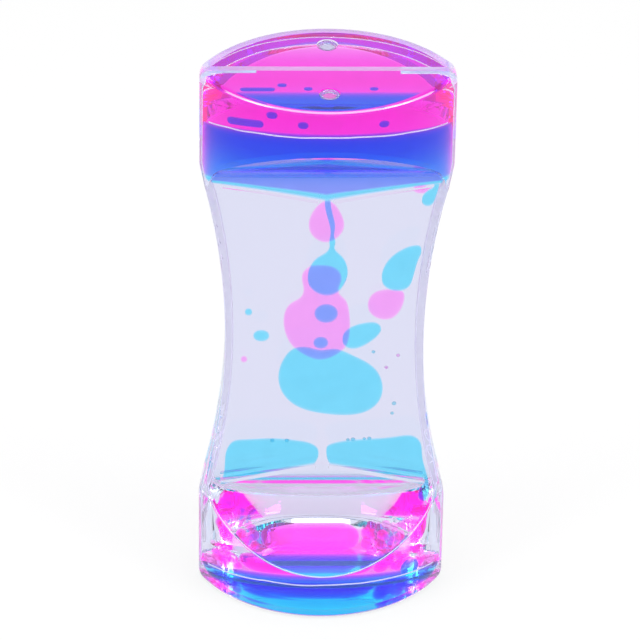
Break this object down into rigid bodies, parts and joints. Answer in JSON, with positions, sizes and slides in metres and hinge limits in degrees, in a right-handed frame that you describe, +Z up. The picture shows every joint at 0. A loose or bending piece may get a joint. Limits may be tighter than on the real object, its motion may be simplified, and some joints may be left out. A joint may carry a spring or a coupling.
{
  "type": "liquid motion timer",
  "caption": "Clear hourglass-shaped liquid timer: two flat oil chambers side by side, in which blue and pink drops sink past V-shaped shelves. Turned over to run again.",
  "frame": {"origin": "middle of the flat base", "axes": "+Z up, -Y towards the blue front chamber, +X to the right seen from the front"},
  "size_m": [0.059, 0.04, 0.14],
  "materials": {
    "clear_case": "gloss",
    "clear_oil": "gloss",
    "blue_liquid": "gloss",
    "pink_liquid": "gloss"
  },
  "bodies": {
    "casing": {"front_shell": "clear_case", "rear_shell": "clear_case", "divider_plate": "clear_case", "front_fill_plug": "clear_case", "rear_fill_plug": "clear_case", "front_clear_oil": "clear_oil", "rear_clear_oil": "clear_oil", "blue_upper_pool": "blue_liquid", "blue_corner_trickle": "blue_liquid", "blue_clinging_beads": "blue_liquid", "blue_shelf_pool_left": "blue_liquid", "blue_shelf_pool_right": "blue_liquid", "blue_base_pool": "blue_liquid", "blue_base_drop": "blue_liquid", "pink_upper_pool": "pink_liquid", "pink_corner_drop": "pink_liquid", "pink_base_pool": "pink_liquid", "pink_base_blob": "pink_liquid", "pink_base_bubbles": "pink_liquid"},
    "blue_large_drop": {"blue_large_drop": "blue_liquid"},
    "blue_leaf_drop": {"blue_leaf_drop": "blue_liquid"},
    "blue_small_drop_lower": {"blue_small_drop_lower": "blue_liquid"},
    "blue_small_drop_upper": {"blue_small_drop_upper": "blue_liquid"},
    "blue_dripping_drop": {"blue_dripping_drop": "blue_liquid"},
    "blue_side_drop": {"blue_side_drop": "blue_liquid"},
    "blue_bead_high": {"blue_bead_high": "blue_liquid"},
    "blue_bead_low": {"blue_bead_low": "blue_liquid"},
    "pink_large_drop": {"pink_large_drop": "pink_liquid"},
    "pink_top_drop": {"pink_top_drop": "pink_liquid"},
    "pink_side_drop": {"pink_side_drop": "pink_liquid"},
    "pink_bead": {"pink_bead": "pink_liquid"}
  },
  "joints": [
    {"name": "blue_large_drop_sink", "type": "slide", "parent": "casing", "child": "blue_large_drop", "axis": [0, 0, 1], "range_m": [-0.007, 0], "deforming": ["front_clear_oil"]},
    {"name": "blue_leaf_drop_sink", "type": "slide", "parent": "casing", "child": "blue_leaf_drop", "axis": [0, 0, 1], "range_m": [-0.0063, 0], "deforming": ["front_clear_oil"]},
    {"name": "blue_small_drop_lower_sink", "type": "slide", "parent": "casing", "child": "blue_small_drop_lower", "axis": [0, 0, 1], "range_m": [-0.0063, 0], "deforming": ["front_clear_oil"]},
    {"name": "blue_small_drop_upper_sink", "type": "slide", "parent": "casing", "child": "blue_small_drop_upper", "axis": [0, 0, 1], "range_m": [-0.0056, 0], "deforming": ["front_clear_oil"]},
    {"name": "blue_dripping_drop_sink", "type": "slide", "parent": "casing", "child": "blue_dripping_drop", "axis": [0, 0, 1], "range_m": [-0.0049, 0], "deforming": ["front_clear_oil"]},
    {"name": "blue_side_drop_sink", "type": "slide", "parent": "casing", "child": "blue_side_drop", "axis": [0.1123, 0, 0.9937], "range_m": [-0.009, 0.008], "deforming": ["front_clear_oil"]},
    {"name": "blue_bead_high_sink", "type": "slide", "parent": "casing", "child": "blue_bead_high", "axis": [0, 0, 1], "range_m": [-0.034, 0.031], "deforming": ["front_clear_oil"]},
    {"name": "blue_bead_low_sink", "type": "slide", "parent": "casing", "child": "blue_bead_low", "axis": [0, 0, 1], "range_m": [-0.027, 0.036], "deforming": ["front_clear_oil"]},
    {"name": "pink_large_drop_sink", "type": "slide", "parent": "casing", "child": "pink_large_drop", "axis": [0, 0, 1], "range_m": [-0.026, 0], "deforming": ["rear_clear_oil"]},
    {"name": "pink_top_drop_sink", "type": "slide", "parent": "casing", "child": "pink_top_drop", "axis": [0, 0, 1], "range_m": [-0.0234, 0], "deforming": ["rear_clear_oil"]},
    {"name": "pink_side_drop_sink", "type": "slide", "parent": "casing", "child": "pink_side_drop", "axis": [0, 0, 1], "range_m": [-0.04, 0.026], "deforming": ["rear_clear_oil"]},
    {"name": "pink_bead_sink", "type": "slide", "parent": "casing", "child": "pink_bead", "axis": [0, 0, 1], "range_m": [-0.029, 0.046], "deforming": ["rear_clear_oil"]}
  ],
  "couplings": [
    {"joint": "blue_leaf_drop_sink", "follows": "blue_large_drop_sink", "ratio": 0.9},
    {"joint": "blue_small_drop_lower_sink", "follows": "blue_large_drop_sink", "ratio": 0.9},
    {"joint": "blue_small_drop_upper_sink", "follows": "blue_large_drop_sink", "ratio": 0.8},
    {"joint": "blue_dripping_drop_sink", "follows": "blue_large_drop_sink", "ratio": 0.7},
    {"joint": "pink_top_drop_sink", "follows": "pink_large_drop_sink", "ratio": 0.9}
  ]
}
